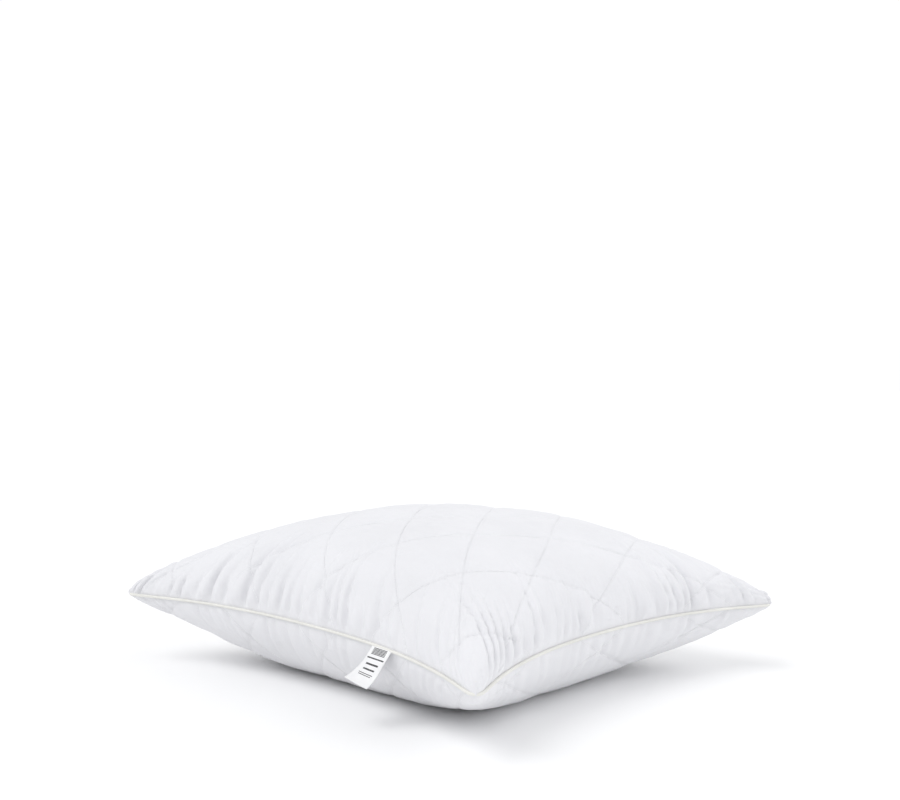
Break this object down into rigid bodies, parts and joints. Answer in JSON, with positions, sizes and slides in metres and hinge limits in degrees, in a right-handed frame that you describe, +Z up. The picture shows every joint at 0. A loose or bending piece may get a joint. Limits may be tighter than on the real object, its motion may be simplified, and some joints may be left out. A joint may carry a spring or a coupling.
{
  "type": "bed pillow",
  "caption": "Square quilted bed pillow lying flat, with diamond quilting on both faces, a piped seam round the edge and a care label that flaps.",
  "frame": {"origin": "centre of the footprint, on the surface the belly rests on", "axes": "+Z up through the thickness, X along the long diagonal of the quilting diamonds, Y along the short one; the care label hangs on the -X side"},
  "size_m": [0.7084, 0.7084, 0.2363],
  "materials": {
    "cover_white": "smooth fine plain weave, cool white",
    "wadding_white": "lofty fibre wadding",
    "backing_white": "thin open weave",
    "fibre_white": "loose fibre filling",
    "piping_cream": "cream bias-cut weave",
    "cord_natural": "twisted cotton cord",
    "thread_white": "spun thread",
    "thread_cream": "spun thread",
    "label_satin": "satin ribbon"
  },
  "bodies": {
    "pillow": {"top_face_fabric": "cover_white", "bottom_face_fabric": "cover_white", "top_wadding": "wadding_white", "bottom_wadding": "wadding_white", "top_backing": "backing_white", "bottom_backing": "backing_white", "fibre_filling": "fibre_white", "top_quilting_thread": "thread_white", "bottom_quilting_thread": "thread_white", "piping_cord": "cord_natural", "piping_cover": "piping_cream", "seam_needle_thread": "thread_cream", "seam_bobbin_thread": "thread_cream"},
    "label": {"care_label": "label_satin"}
  },
  "joints": [
    {"name": "label_flap", "type": "hinge", "parent": "pillow", "child": "label", "pos_m": [-0.2866, -0.13983, 0.0961], "axis": [0.1327, 0.9912, 0], "range_deg": [-8, 90]}
  ]
}
